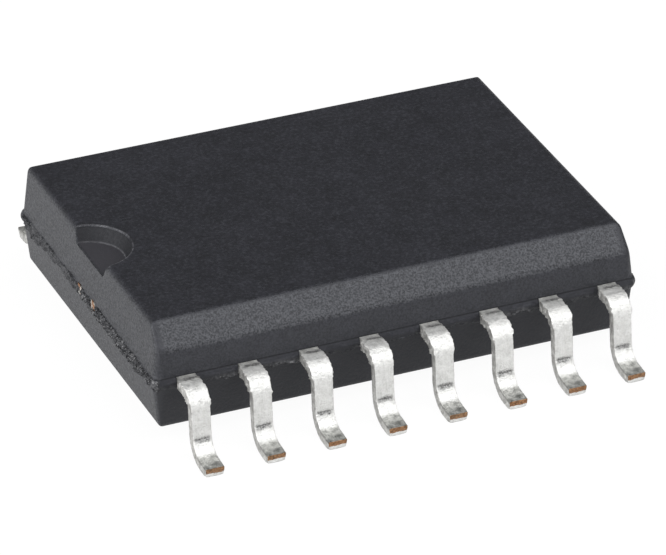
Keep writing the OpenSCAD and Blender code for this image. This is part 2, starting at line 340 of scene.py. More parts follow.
def formed(along, above):
    """Where a point of the flat blank ends up: (out from the wall, up from the strip)."""
    out, up, angle = 0.0, 0.0, 0.0
    left = along
    for number, (length, bend) in enumerate(FORM):
        last = number == len(FORM) - 1
        step = left if last else min(left, length)
        if bend:
            hand = 1 if bend > 0 else -1
            radius = length / abs(bend)
            part = bend * step / length
            out += hand * radius * (math.sin(angle + part) - math.sin(angle))
            up += hand * radius * (math.cos(angle + part) - math.cos(angle))
            angle += part
        else:
            out += step * math.cos(angle)
            up -= step * math.sin(angle)
        left -= step
        if left <= 0:
            break
    return out + above * math.sin(angle), up + above * math.cos(angle)


def select_where(obj, domain, test):
    """Selects the mesh elements that pass the test, in object mode."""
    for group in (obj.data.vertices, obj.data.edges, obj.data.polygons):
        group.foreach_set("select", [False] * len(group))
    elements = getattr(obj.data, domain)
    elements.foreach_set("select", [test(e) for e in elements])


def edge_ends(obj, edge):
    return [obj.data.vertices[v].co for v in edge.vertices]


X_AXIS, Y_AXIS, Z_AXIS = 0, 1, 2
NEARLY_ALONG = 0.999      # the share of an edge's direction that lies along its axis


def cut_across(obj, axis, cuts):
    """Cuts up to 100 rings round the piece, through every edge that runs along this axis."""
    def runs_along(edge):
        a, b = edge_ends(obj, edge)
        return (b - a).normalized()[axis] ** 2 > NEARLY_ALONG
    bpy.ops.object.mode_set(mode="EDIT")
    bpy.ops.mesh.select_mode(type="EDGE")
    bpy.ops.object.mode_set(mode="OBJECT")
    select_where(obj, "edges", runs_along)
    bpy.ops.object.mode_set(mode="EDIT")
    bpy.ops.mesh.subdivide(number_cuts=cuts)
    bpy.ops.object.mode_set(mode="OBJECT")


def box_piece(size, centre):
    """A block of this size at this place, active and in object mode."""
    bpy.ops.object.select_all(action="DESELECT")
    bpy.ops.mesh.primitive_cube_add(size=1)
    bpy.ops.object.mode_set(mode="EDIT")
    bpy.ops.transform.resize(value=size)
    bpy.ops.transform.translate(value=centre)
    bpy.ops.object.mode_set(mode="OBJECT")
    return bpy.context.active_object


RINGS_ALONG = (13, 9)     # the second pass cuts every stretch that the first one leaves
RINGS_ACROSS = 13
RINGS_DEEP = 6
BROKEN_EDGE = 0.012 * MM  # the press leaves the strip's long edges this round
SAME = 1e-7               # lengths this close are the same


def flat_blank():
    """The lead's outer stretch as it comes from the press: flat, with its top at z 0."""
    blank = box_piece((LEAD_W, BLANK, STRIP_T), (0, BLANK / 2, -STRIP_T / 2))
    for rings in RINGS_ALONG:
        cut_across(blank, Y_AXIS, rings)
    cut_across(blank, X_AXIS, RINGS_ACROSS)
    cut_across(blank, Z_AXIS, RINGS_DEEP)

    def is_long_corner(edge):
        a, b = edge_ends(blank, edge)
        at_edge = abs(abs(a.x) - LEAD_W / 2) < SAME
        at_face = abs(abs(a.z + STRIP_T / 2) - STRIP_T / 2) < SAME
        return at_edge and at_face and abs(a.x - b.x) < SAME and abs(a.z - b.z) < SAME
    select_where(blank, "edges", is_long_corner)
    bpy.ops.object.mode_set(mode="EDIT")
    bpy.ops.mesh.bevel(offset=BROKEN_EDGE, segments=2, profile=0.5)
    bpy.ops.object.mode_set(mode="OBJECT")
    return blank


def ease(low, high, value):
    """0 below low, 1 above high, and smooth between them."""
    part = min(max((value - low) / (high - low), 0.0), 1.0)
    return part * part * (3 - 2 * part)


def between(value, start, end, ramp):
    """1 between start and end, falling to 0 over ramp at either side."""
    return ease(start - ramp, start, value) * (1 - ease(end, end + ramp, value))


SEED_STEPS = (7.31, 3.17, 1.93)   # where each next lead reads the noise
END_WANDER = 0.05 * MM    # how far the start of a stub moves along the lead, and its end
STUB_WANDER = 0.10 * MM
SHEAR_TEXTURE = 0.004 * MM        # roughness of the sheared sides
CLAMP = (0.115 * MM, 0.135 * MM)  # where the clamp's edge pressed, from and to
PRESSED = 0.012 * MM      # how deep the tool's edges pressed
SOFT_EDGE = 0.02 * MM     # a mark fades out over this distance
LINE_WANDER = 0.02 * MM
DENTS = 0.0030 * MM       # depth of the broad dents of the upper face, and of the fine ones
PITS = 0.0015 * MM
TOE_ROLL = 0.10 * MM      # the shear rolls this much of the toe under
TIP = 0.30 * MM           # and narrows this much of it


def work_blank(mesh, seed):
    """Puts the marks of cutting and forming on the flat blank, then forms it."""
    on_strip = mesh.attributes.new("on_strip", "FLOAT_VECTOR", "POINT")
    shift = Vector([seed * step for step in SEED_STEPS])
    crease = 0.2 + 0.8 * abs(noise.noise(Vector((seed * 1.7, 4.2, 0))))

    def rough(across, length, deep):
        """Smooth noise of -1 to 1 that is different on each lead."""
        return noise.noise(Vector((across, length, deep)) + shift)

    for v in mesh.vertices:
        co = v.co.copy()
        p = co / MM
        on_strip.data[v.index].vector = (p.x, p.y, -co.z / STRIP_T)
        sheared = ease(0.70, 1.0, abs(co.x) / (LEAD_W / 2))
        sign = 1 if co.x > 0 else -1
        x, along, z = co
        # the dambar's cut stubs, torn and burred rather than cut clean
        tear = rough(p.y * 9, sign * 5.0, p.z * 6)
        burr = rough(p.y * 24, sign * 9.0, p.z * 16)
        start = STUB_START + END_WANDER * tear
        end = STUB_END + STUB_WANDER * rough(sign * 3.0, 0.5, 0.5)
        stub = between(along, start, end, SOFT_EDGE)
        reach = STUB_OUT * (0.75 + 0.55 * tear + 0.55 * burr)
        x += sign * sheared * (stub * reach + SHEAR_TEXTURE * burr + SHEAR_TEXTURE / 2 * tear)
        # the clamp's line across the shoulder, and the punch's across the start of the heel
        if co.z > -STRIP_T * 0.3:
            wave = LINE_WANDER * rough(p.x * 8, 1.5, 0)
            clamp = between(along, CLAMP[0] + wave, CLAMP[1] + wave, 0.018 * MM)
            clamp *= 1 - ease(0.09, 0.15, p.x)
            punch = between(along, PUNCH - 0.015 * MM + wave, PUNCH + 0.012 * MM + wave,
                            SOFT_EDGE)
            punch *= ease(-0.16, -0.10, p.x)
            z -= PRESSED * clamp * crease + PRESSED * punch
            z -= DENTS * (1 + rough(p.x * 13, p.y * 6, 0))
            z -= PITS * (1 + rough(p.x * 40, p.y * 22, 0))
        # the toe is sheared from above, so its lower edge and corners roll under
        low = ease(0.15, 1.0, -co.z / STRIP_T)
        toe = ease(BLANK - TOE_ROLL, BLANK, along)
        tip = ease(BLANK - TIP, BLANK, along)
        x *= 1 - 0.03 * tip - 0.06 * toe * low
        z += 0.014 * MM * toe * low * (abs(co.x) / (LEAD_W / 2)) ** 4
        along -= 0.020 * MM * toe * low ** 2
        out, up = formed(along, z + STRIP_T / 2)
        v.co = (-x, -WALL - out, STRIP_TOP - STRIP_T / 2 + up)


# matt tin: pale and fine-grained, drawn into faint lines by the forming tool, and dark on the
# scuffed foot; where the tool's edges pressed, the creases hold a tool mark and painted shade;
# the sheared toe shows copper above the tin
GREY_TIN = (0.69, 0.69, 0.675)
PALE_TIN = (0.90, 0.90, 0.885)
LINES_SHARE = 0.32        # how strongly the drawn lines show, and the tin's own grains
GRAINS_SHARE = 0.34
TORN_DARK = (0.42, 0.41, 0.40)    # these darken what lies under them
TORN_PALE = (0.92, 0.92, 0.91)
WALL_DARK = (0.52, 0.52, 0.52)
WALL_PALE = (0.88, 0.88, 0.87)
SCUFF_DARK = (0.17, 0.175, 0.168)
SCUFF_PALE = (0.86, 0.86, 0.84)
# partly a tool mark, partly painted shade in the creases
PRESSED_TIN_SHADE = (0.08, 0.08, 0.08)
SHEARED_DARK = (0.10, 0.042, 0.020)
SHEARED_COPPER = (0.50, 0.25, 0.12)
TARNISH_DARK = (0.10, 0.060, 0.035)
TARNISHED_COPPER = (0.46, 0.30, 0.17)

tin, tree, shader, place = new_material("matt_tin", 0.78, 0.5)
cloud = placed_group(tree, grain, place, "Object", Grains_per_Metre=9000, Sharpness=2.0)
powder = placed_group(tree, grain, place, "Object", Grains_per_Metre=30000, Sharpness=2.6)

# where a point lies on the strip: millimetres across, millimetres along, and depth 0 to 1
on_strip = new_node(tree, "ShaderNodeAttribute", attribute_name="on_strip")
strip_place = new_node(tree, "ShaderNodeSeparateXYZ")
join(tree, on_strip, "Vector", strip_place, "Vector")
on_top = step_node(tree, strip_place, "Z", 0.30, 0.12)
world_place = new_node(tree, "ShaderNodeSeparateXYZ")
join(tree, place, "Object", world_place, "Vector")
lengthways = new_node(tree, "ShaderNodeCombineXYZ")
join(tree, world_place, "X", lengthways, "X")
DRAWN_OUT = 0.10          # the lines' grains are ten times as long as they are wide
stretched = math_node(tree, "MULTIPLY", (strip_place, "Y"), DRAWN_OUT * MM)
join(tree, stretched, "Value", lengthways, "Y")
lines = placed_group(tree, grain, lengthways, "Vector", Grains_per_Metre=24000, Sharpness=1.8)
pale = mix_node(tree, (cloud, "Shade"), GREY_TIN, PALE_TIN)
lined = mix_node(tree, LINES_SHARE, (pale, COLOUR), (lines, "Shade"), "OVERLAY")
grainy = mix_node(tree, GRAINS_SHARE, (lined, COLOUR), (powder, "Shade"), "OVERLAY")

# the sheared sides are rougher and duller than the rolled faces
aside = math_node(tree, "ABSOLUTE", (strip_place, "X"))
on_side = step_node(tree, aside, "Value", 0.186, 0.194)
torn = mix_node(tree, (cloud, "Shade"), TORN_DARK, TORN_PALE)
sided = mix_node(tree, (on_side, "Result"), (grainy, COLOUR), (torn, COLOUR), "MULTIPLY")


RAGGED = 0.16             # how far a dark line wanders, in mm


def line_across(middle, half, left, right):
    """A ragged line across the lead's upper face, in millimetres on the strip."""
    ragged = math_node(tree, "MULTIPLY_ADD", (cloud, "Height"), RAGGED)
    ragged.inputs[ADDEND].default_value = -RAGGED / 2 - middle
    offset = math_node(tree, "ADD", (strip_place, "Y"), (ragged, "Value"))
    away = math_node(tree, "ABSOLUTE", (offset, "Value"))
    near = step_node(tree, away, "Value", half, half * 0.2)
    from_left = step_node(tree, strip_place, "X", left - 0.05, left + 0.03)
    to_right = step_node(tree, strip_place, "X", right + 0.03, right - 0.05)
    across = math_node(tree, "MULTIPLY", (from_left, "Result"), (to_right, "Result"))
    both = math_node(tree, "MULTIPLY", (near, "Result"), (across, "Value"))
    return math_node(tree, "MULTIPLY", (both, "Value"), (on_top, "Result"))


# partly a tool mark, partly painted shade: the creases that the clamp and the punch left are
# painted dark
clamp_line = line_across(0.125, 0.065, -0.17, 0.12)
punch_line = line_across(PUNCH / MM, 0.105, -0.14, 0.17)
lines_both = math_node(tree, "MAXIMUM", (clamp_line, "Value"), (punch_line, "Value"))
uneven = step_node(tree, powder, "Shade", 0.0, 1.0, 0.95, 0.45)
pressed_and_shaded = math_node(tree, "MULTIPLY", (lines_both, "Value"), (uneven, "Result"))

# painted shade: the shoulder is painted darker towards the body wall
by_wall = step_node(tree, strip_place, "Y", 0.32, 0.10)
on_shoulder = math_node(tree, "MULTIPLY", (by_wall, "Result"), (on_top, "Result"))
wall_shade = mix_node(tree, (cloud, "Shade"), WALL_DARK, WALL_PALE)
shouldered = mix_node(tree, (on_shoulder, "Value"), (sided, COLOUR), (wall_shade, COLOUR),
                      "MULTIPLY")
crease_shaded = mix_node(tree, (pressed_and_shaded, "Value"), (shouldered, COLOUR), PRESSED_TIN_SHADE)

# the foot is scuffed, most of all at the toe
scuffs = placed_group(tree, grain, on_strip, "Vector", Grains_per_Metre=9, Sharpness=2.2)
foot = step_node(tree, strip_place, "Y", (HEEL_END - 0.22 * MM) / MM,
                 (HEEL_END - 0.08 * MM) / MM)
scuffed = math_node(tree, "MULTIPLY", (foot, "Result"), (on_top, "Result"))
worn_down = step_node(tree, strip_place, "Y", HEEL_END / MM, BLANK / MM, 0.30, -0.20)
wear = math_node(tree, "ADD", (scuffs, "Shade"), (worn_down, "Result"))
wear.use_clamp = True
dull = mix_node(tree, (wear, "Value"), SCUFF_DARK, SCUFF_PALE)
footed = mix_node(tree, (scuffed, "Value"), (crease_shaded, COLOUR), (dull, COLOUR), "MULTIPLY")

# the toe's end is bare copper, partly tarnished, down to a ragged edge of tin
at_toe = step_node(tree, strip_place, "Y", BLANK / MM - 0.006, BLANK / MM - 0.001)
tin_edge = math_node(tree, "MULTIPLY_ADD", (cloud, "Height"), 0.5)
join(tree, strip_place, "Z", tin_edge, ADDEND)
above_tin = step_node(tree, tin_edge, "Value", 0.90, 0.78)
bare = math_node(tree, "MULTIPLY", (at_toe, "Result"), (above_tin, "Result"))
fresh = mix_node(tree, (powder, "Shade"), SHEARED_DARK, SHEARED_COPPER)
tarnish = placed_group(tree, grain, place, "Object", Grains_per_Metre=330, Sharpness=3.0)
tarnished = mix_node(tree, (powder, "Shade"), TARNISH_DARK, TARNISHED_COPPER)
toe_copper = mix_node(tree, (tarnish, "Shade"), (fresh, COLOUR), (tarnished, COLOUR))
tin_tone = mix_node(tree, (bare, "Value"), (footed, COLOUR), (toe_copper, COLOUR))
join(tree, tin_tone, COLOUR, shader, "Base Color")
gloss = step_node(tree, cloud, "Shade", 0.1, 0.9, 0.44, 0.58)
join(tree, gloss, "Result", shader, "Roughness")
roughened = math_node(tree, "MULTIPLY_ADD", (cloud, "Height"), 2.0)
join(tree, powder, "Height", roughened, ADDEND)
bump(tree, shader, roughened, "Value", 0.013 * MM)

blank = flat_blank()
for mount in frame["record"]["mounts"]:
    if not mount["name"].startswith("foot_"):
        continue
    number = int(mount["name"].split("_")[1])
    far_row = mount["pos_m"][1] > 0
    mesh = blank.data.copy()
    work_blank(mesh, number)
    if far_row:
        mesh.transform(Matrix.Rotation(math.pi, 4, "Z"))
    mesh.transform(Matrix.Translation((mount["pos_m"][0], 0, 0)))
    outer = bpy.data.objects.new(f"lead_{number}_formed", mesh)
    bpy.context.collection.objects.link(outer)

    # the finger inside the epoxy is the CAD lead's own, cut off at the wall
    row_side = 1 if far_row else -1
    cut_copy(f"lead_{number}", "finger", [((0, row_side * WALL, 0), (0, row_side, 0))])
    outer.select_set(True)
    bpy.context.view_layer.objects.active = outer
    bpy.ops.object.join()
    outer.data.materials.clear()
    outer.data.materials.append(tin)
    bpy.ops.object.shade_smooth_by_angle(angle=math.radians(45))
    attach(outer, "root")
    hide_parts(f"lead_{number}")
bpy.data.objects.remove(blank)


# ---- Moulded body: black epoxy, transfer moulded round the strip and everything on it. The
# ---- mould was spark-eroded, so its faces are finely grained. At the parting line it has a
# ---- rim of squeezed-out epoxy, broken to crumbs along the ends where the strip was cut.

BOTTOM, TOP = body_low[2], body_high[2]
HALF_L = body_high[0] - RIM
PARTING = STRIP_TOP - STRIP_T / 2
DRAFT = math.tan(math.radians(6.5))
CORNER_R = 0.20 * MM
EDGE_R = 0.15 * MM
BEVEL_IN = 0.51 * MM
BEVEL_DROP = 0.50 * MM
BEVEL_R = 0.16 * MM
BEVEL_LOW_R = 0.35 * MM
RIM_HALF = 0.13 * MM      # the rim reaches this far above and below the parting line
CRUMB_LOW = 0.30 * MM     # the crumbs reach this far below the parting line
CRUMB_HIGH = 0.18 * MM
CRUMB_ROWS = 19
ARC_STEPS = 6
SKIN_CUTS = (14, 17)      # the second pass cuts every stretch that the first one leaves


def arc_at(a, b, c, radius):
    """The arc that rounds the corner at b between a and c, as (height, inset) points."""
    a, b, c = Vector(a), Vector(b), Vector(c)
    u, v = (a - b).normalized(), (c - b).normalized()
    half = u.angle(v) / 2
    centre = b + (u + v).normalized() * radius / math.sin(half)
    start = b + u * radius / math.tan(half) - centre
    sweep = (math.pi - 2 * half) * (1 if v.cross(u) > 0 else -1)
    turns = [Matrix.Rotation(sweep * k / ARC_STEPS, 2) for k in range(ARC_STEPS + 1)]
    return [tuple(centre + t @ start) for t in turns]


def inset_at(height, outline):
    """The inset of an outline of (height, inset) points at a height."""
    for (h1, i1), (h2, i2) in zip(outline, outline[1:]):
        if height <= h2:
            return i1 + (i2 - i1) * max(0.0, height - h1) / max(h2 - h1, 1e-9)
    return outline[-1][1]


rise, fall = TOP - PARTING, PARTING - BOTTOM
plain_top = [(0, 0)] + arc_at((0, 0), (rise, rise * DRAFT), (rise, rise * DRAFT + MM), EDGE_R)
plain_foot = [(0, 0)] + arc_at((0, 0), (fall, fall * DRAFT), (fall, fall * DRAFT + MM), EDGE_R)
bevel_low = (rise - BEVEL_DROP, (rise - BEVEL_DROP) * DRAFT)
bevel_high = (rise, BEVEL_IN)
front_top = ([(0, 0)] + arc_at((0, 0), bevel_low, bevel_high, BEVEL_LOW_R)
             + arc_at(bevel_low, bevel_high, (rise, BEVEL_IN + MM), BEVEL_R))

# every level of the skin: height from the parting line, inset of the sides and of the front
levels = [(-h, i, i) for h, i in reversed(plain_foot[1:])]
for row in range(CRUMB_ROWS + 1):
    h = -CRUMB_LOW + (CRUMB_LOW + CRUMB_HIGH) * row / CRUMB_ROWS
    levels.append((h, abs(h) * DRAFT, abs(h) * DRAFT))
heights = sorted({round(h, 8) for h, i in front_top[1:] + plain_top[1:] if h > CRUMB_HIGH})
levels += [(h, inset_at(h, plain_top), inset_at(h, front_top)) for h in heights]

# a tube round the whole body, 1 m high for now, so that the rings are easy to tell apart
skin = box_piece((2 * HALF_L, 2 * WALL, 1), (0, 0, 0.5))
skin.name = "epoxy_body"


def is_upright(edge):
    a, b = edge_ends(skin, edge)
    return abs(a.z - b.z) > 0.5


bpy.ops.object.mode_set(mode="EDIT")
bpy.ops.mesh.select_mode(type="EDGE")
bpy.ops.object.mode_set(mode="OBJECT")
select_where(skin, "edges", is_upright)
bpy.ops.object.mode_set(mode="EDIT")
bpy.ops.mesh.bevel(offset=CORNER_R, segments=2 * ARC_STEPS, profile=0.5)
bpy.ops.mesh.select_mode(type="FACE")
bpy.ops.object.mode_set(mode="OBJECT")
select_where(skin, "polygons", lambda face: abs(face.normal.z) > 0.9)
bpy.ops.object.mode_set(mode="EDIT")
bpy.ops.mesh.delete(type="ONLY_FACE")
bpy.ops.object.mode_set(mode="OBJECT")
for cuts in SKIN_CUTS:
    cut_across(skin, X_AXIS, cuts)
    cut_across(skin, Y_AXIS, cuts)
cut_across(skin, Z_AXIS, len(levels) - 2)

# close the top and the underside again
ON_RING = 1e-6            # a corner this close to the tube's end lies on its ring
bpy.ops.object.mode_set(mode="EDIT")
bpy.ops.mesh.select_mode(type="EDGE")
for end in (0.0, 1.0):
    bpy.ops.object.mode_set(mode="OBJECT")
    select_where(skin, "edges", lambda edge: all(abs(co.z - end) < ON_RING
                                                 for co in edge_ends(skin, edge)))
    bpy.ops.object.mode_set(mode="EDIT")
    bpy.ops.mesh.edge_face_add()
bpy.ops.object.mode_set(mode="OBJECT")


# the rim's own sizes, in mm
TIE_Y = 0.36              # a tie bar's middle, and half its width
TIE_HALF_W = 0.12
GROOVE = 0.010            # depth of the groove over the rim, along the sides
BARED = 0.018             # depth of the break round a tie bar
SUNK = 0.09               # the break sinks this far at one place behind the tie bars
SEAM_LOW = -0.13          # lower edge of the seam along the sides
BREAK_LOW = -0.12         # lower and upper edge of the break along the ends
BREAK_HIGH = 0.08


def rim_out(around, height, at_end):
    """How far the rim stands out, how crumbled it is and how deep its groove, in mm."""
    seed = 5.5 if at_end else 1.5
    wide = noise.noise(Vector((around * 0.9, 3.1, seed)))
    ragged = noise.noise(Vector((around * 5, 8.2, seed)))
    nibbled = noise.noise(Vector((around * 15, 2.4, seed)))
    crumbs = noise.noise(Vector((around * 11, height * 13, seed)))
    dust = noise.noise(Vector((around * 29, height * 32, seed + 4)))
    if not at_end:
        low = SEAM_LOW - 0.03 * wide - 0.05 * ragged - 0.04 * nibbled
        loose = ease(0.0, 0.35, wide + 0.15)
        down = ease(0.10, -0.05, height)
        out = RIM / MM * (0.15 + 0.45 * down + ease(-0.02, low, height) * (crumbs + 0.6 * dust))
        inside = between(height, low + 0.02, 0.10, 0.012)
        groove = between(height, 0.105, 0.115, 0.014)
        out = min(out * inside, RIM / MM) - GROOVE * groove
        return out, inside * loose * ease(0.05, low, height), groove

    # the break is wide and coarse from the tie bars to the bevelled side, and smooth behind
    coarse = ease(1.3, -0.3, around)
    sunk = SUNK * between(around, 2.8, 3.3, 0.25)
    low = BREAK_LOW - 0.07 * coarse - sunk - 0.05 * wide - 0.06 * ragged - 0.05 * nibbled
    high = BREAK_HIGH + 0.02 * ragged + 0.03 * nibbled * coarse
    inside = between(height, low + 0.02, high - 0.01, 0.02)
    out = RIM / MM * (0.30 + (0.9 + 0.9 * coarse) * crumbs + (0.5 + 1.1 * coarse) * dust)
    out = min(max(out, -RIM / MM), RIM / MM) * inside
    off_tie = abs(abs(around) - TIE_Y)
    bare = 1 - ease(TIE_HALF_W * 0.7, TIE_HALF_W * (1.2 + 0.8 * nibbled), off_tie)
    bare *= between(height, -0.06 + 0.08 * ragged, 0.10, 0.02)
    return out * (1 - bare) - BARED * bare, inside * (0.55 + 0.45 * coarse) * (1 - bare), 0.0


SIDES_APART = 20          # the two sides read the noise this far apart, in mm


def rims_at(co, height):
    """What rim_out gives for the end and for the side nearest to a place on the skin."""
    sx, sy = (1 if co.x > 0 else -1), (-1 if co.y < 0 else 1)
    return (rim_out(-sx * co.y / MM, height / MM, True),
            rim_out(co.x / MM + SIDES_APART * sy, height / MM, False))


for v in skin.data.vertices:
    height, side_in, front_in = levels[round(v.co.z * (len(levels) - 1))]
    front = v.co.y < 0
    y_in = front_in if front else side_in
    corner = max(CORNER_R - side_in, CORNER_R / 6)
    sx, sy = (1 if v.co.x > 0 else -1), (-1 if front else 1)
    over_x = abs(v.co.x) - (HALF_L - CORNER_R)
    over_y = abs(v.co.y) - (WALL - CORNER_R)
    straight_x = (HALF_L - side_in - corner) / (HALF_L - CORNER_R)
    straight_y = (WALL - y_in - corner) / (WALL - CORNER_R)
    nx, ny = max(over_x, 0.0) / CORNER_R, max(over_y, 0.0) / CORNER_R
    x = HALF_L - side_in - corner + nx * corner if nx else abs(v.co.x) * straight_x
    y = WALL - y_in - corner + ny * corner if ny else abs(v.co.y) * straight_y
    # at the corners the rim of both sides runs together into a plain round bead
    bead = RIM * math.sqrt(max(0.0, 1 - (height / RIM_HALF) ** 2))
    at_end, at_side = rims_at(v.co, height)
    end_part, side_part = ease(0.90, 1.0, nx), ease(0.90, 1.0, ny)
    bead_part = 1 - end_part - side_part
    out = MM * (end_part * at_end[0] + side_part * at_side[0]) + bead_part * bead
    v.co = (sx * (x + out * nx), sy * (y + out * ny), PARTING + height)

# the notch at the lead 1 end, and the two shallow marks of the ejector pins underneath
NOTCH_R = 0.88 * MM
NOTCH_DEPTH = 0.32 * MM
NOTCH_SLOPE = 0.15 * MM   # the notch is this much smaller in radius at its floor
NOTCH_X = -HALF_L + 0.07 * MM
EJECTOR_R = 0.6 * MM
EJECTOR_DEPTH = 0.05 * MM
EJECTOR_X = 3.0 * MM
PIN_LENGTH = 0.5 * MM
bpy.ops.object.select_all(action="DESELECT")
bpy.ops.mesh.primitive_cone_add(vertices=96, radius1=NOTCH_R - NOTCH_SLOPE,
                                radius2=NOTCH_R + NOTCH_SLOPE, depth=2 * NOTCH_DEPTH,
                                location=(NOTCH_X, 0, TOP))
cutters = [bpy.context.active_object]
for side in (-1, 1):
    pin_middle = BOTTOM + EJECTOR_DEPTH - PIN_LENGTH / 2
    bpy.ops.mesh.primitive_cylinder_add(vertices=64, radius=EJECTOR_R, depth=PIN_LENGTH,
                                        location=(side * EJECTOR_X, 0, pin_middle))
    cutters.append(bpy.context.active_object)
for cutter in cutters:
    bpy.ops.object.select_all(action="DESELECT")
    skin.select_set(True)
    bpy.context.view_layer.objects.active = skin
    cut = skin.modifiers.new("cut", "BOOLEAN")
    cut.operation = "DIFFERENCE"
    cut.solver = "EXACT"
    cut.object = cutter
    bpy.ops.object.modifier_apply(modifier=cut.name)
    bpy.data.objects.remove(cutter)
bpy.ops.object.shade_smooth_by_angle(angle=math.radians(35))
even = skin.modifiers.new("even", "WEIGHTED_NORMAL")
even.keep_sharp = True
bpy.ops.object.modifier_apply(modifier=even.name)

# what the finish follows: crumbled rim, the groove over the rim, which gets painted shade, and
# how strongly painted glints and sheen show, which is 1 on the bevel
# painted glints: how strongly they show on the ends and on the upper front
GLINTS_ON_ENDS = 0.9
GLINTS_ON_FRONT = 0.3
marks = skin.data.attributes.new("marks", "FLOAT_VECTOR", "POINT")
for v in skin.data.vertices:
    height = v.co.z - PARTING
    near_end = ease(HALF_L - 0.10 * MM, HALF_L - 0.06 * MM, abs(v.co.x))
    near_side = ease(WALL - 0.10 * MM, WALL - 0.06 * MM, abs(v.co.y))
    at_end, at_side = rims_at(v.co, height)
    crumb = max(near_end * at_end[1], near_side * at_side[1])
    on_bevel = between(height, bevel_low[0], bevel_high[0] - 0.06 * MM, 0.05 * MM)
    on_bevel *= 1 - ease(HALF_L - 0.30 * MM, HALF_L - 0.22 * MM, abs(v.co.x))
    on_bevel *= ease(WALL - BEVEL_IN - 0.06 * MM, WALL - BEVEL_IN, -v.co.y)
    end_slope = HALF_L - abs(height) * DRAFT
    on_end = GLINTS_ON_ENDS * ease(end_slope - 0.04 * MM, end_slope - 0.02 * MM, abs(v.co.x))
    on_end *= 1 - ease(rise - 0.08 * MM, rise - 0.04 * MM, height)
    on_front = 0.0
    if v.co.y <= 0:
        on_front = GLINTS_ON_FRONT * between(height, 0.12 * MM, bevel_low[0], 0.05 * MM)
    glint_share_here = max(on_bevel, on_end, on_front)
    marks.data[v.index].vector = (crumb, near_side * at_side[2], glint_share_here)

# black epoxy: mottled by its filler and grained by the mould, with pale lines at the edges of
# the notch that are partly rubbed wear and partly a painted highlight
EPOXY_DARK = (0.0090, 0.0092, 0.0128)
EPOXY_PALE = (0.0150, 0.0153, 0.0198)
MOTTLE_SHARE = 0.35       # how strongly the mottle shows, the grit and the filler
GRIT_SHARE = 0.40
FILLER_SHARE = 0.22
BARE_FILLER = (0.040, 0.042, 0.048)
# painted shade for the lower half of the body
LOWER_HALF_SHADE = (0.0030, 0.0031, 0.0045)
GLINT_DARK = (0.001, 0.001, 0.002)
GLINT_PALE = (0.062, 0.064, 0.071)
GLINT_SHARE = 0.85        # how strongly the painted glints show where they are strongest
NOTCH_FLOOR = (0.0220, 0.0210, 0.0250)
NOTCH_WALL = (0.0050, 0.0050, 0.0066)
# partly rubbed wear, partly a painted highlight on the notch's edges
RUBBED_EDGE_HIGHLIGHT = (0.13, 0.13, 0.14)
# partly the break's own dark, partly painted shade in the crumbs' pits
CRUMB_SHADE_DARK = (0.006, 0.006, 0.007)
CRUMB_PALE = (0.125, 0.126, 0.132)
BROKEN_GRAIN = (0.22, 0.22, 0.225)
# painted shade in the groove over the rim
GROOVE_SHADE = (0.003, 0.003, 0.004)

epoxy, tree, shader, place = new_material("black_epoxy", 0.0, 0.45)
shader.inputs["Specular IOR Level"].default_value = 0.62
shader.inputs["Specular Tint"].default_value = (0.92, 0.94, 1.0, 1)
marked = new_node(tree, "ShaderNodeAttribute", attribute_name="marks")
mark = new_node(tree, "ShaderNodeSeparateXYZ")
join(tree, marked, "Vector", mark, "Vector")
clouded = placed_group(tree, grain, place, "Object", Grains_per_Metre=420, Sharpness=1.8)
mottle = placed_group(tree, grain, place, "Object", Grains_per_Metre=2600, Sharpness=2.0)
grit = placed_group(tree, grain, place, "Object", Grains_per_Metre=17000, Sharpness=2.6)
filler = placed_group(tree, specks, place, "Object", Specks_per_Metre=17000, Threshold=0.57)
glints = placed_group(tree, grain, place, "Object", Grains_per_Metre=27000, Sharpness=6.0)
blotched = mix_node(tree, (clouded, "Shade"), EPOXY_DARK, EPOXY_PALE)
mottled = mix_node(tree, MOTTLE_SHARE, (blotched, COLOUR), (mottle, "Shade"), "OVERLAY")
gritty = mix_node(tree, GRIT_SHARE, (mottled, COLOUR), (grit, "Shade"), "OVERLAY")
speckle = math_node(tree, "MULTIPLY", (filler, "Mask"), FILLER_SHARE)
speckled = mix_node(tree, (speckle, "Value"), (gritty, COLOUR), BARE_FILLER)

# painted shade: the epoxy below the parting line is painted blacker, as the lower front of the
# body lies in shade
skin_place = new_node(tree, "ShaderNodeSeparateXYZ")
join(tree, place, "Object", skin_place, "Vector")
low_half_shade = step_node(tree, skin_place, "Z", PARTING + 0.02 * MM, PARTING - 0.04 * MM, 0.0, 0.8)
halves_shaded = mix_node(tree, (low_half_shade, "Result"), (speckled, COLOUR), LOWER_HALF_SHADE)

# painted glints and sheen: pale glints are painted into the grain of the bevel, the ends and
# the upper front, and they lighten those faces as a painted sheen
painted_glints = mix_node(tree, (glints, "Shade"), GLINT_DARK, GLINT_PALE)
glint_amount = math_node(tree, "MULTIPLY", (mark, "Z"), GLINT_SHARE)
skin_tone = mix_node(tree, (glint_amount, "Value"), (halves_shaded, COLOUR), (painted_glints, COLOUR))


def ring_line(radius, low, high):
    """A thin line round the notch at this radius, between two heights."""
    from_middle = new_node(tree, "ShaderNodeVectorMath", operation="SUBTRACT")
    from_middle.inputs[1].default_value = (NOTCH_X, 0, 0)
    join(tree, place, "Object", from_middle, 0)
    flat = new_node(tree, "ShaderNodeVectorMath", operation="MULTIPLY")
    flat.inputs[1].default_value = (1, 1, 0)
    join(tree, from_middle, "Vector", flat, 0)
    reach = new_node(tree, "ShaderNodeVectorMath", operation="LENGTH")
    join(tree, flat, "Vector", reach, 0)
    off = math_node(tree, "SUBTRACT", (reach, "Value"), radius)
    away = math_node(tree, "ABSOLUTE", (off, "Value"))
    near = step_node(tree, away, "Value", 0.026 * MM, 0.004 * MM)
    above = step_node(tree, skin_place, "Z", low - 0.01 * MM, low)
    below = step_node(tree, skin_place, "Z", high + 0.01 * MM, high)
    level = math_node(tree, "MULTIPLY", (above, "Result"), (below, "Result"))
    return math_node(tree, "MULTIPLY", (near, "Result"), (level, "Value"))


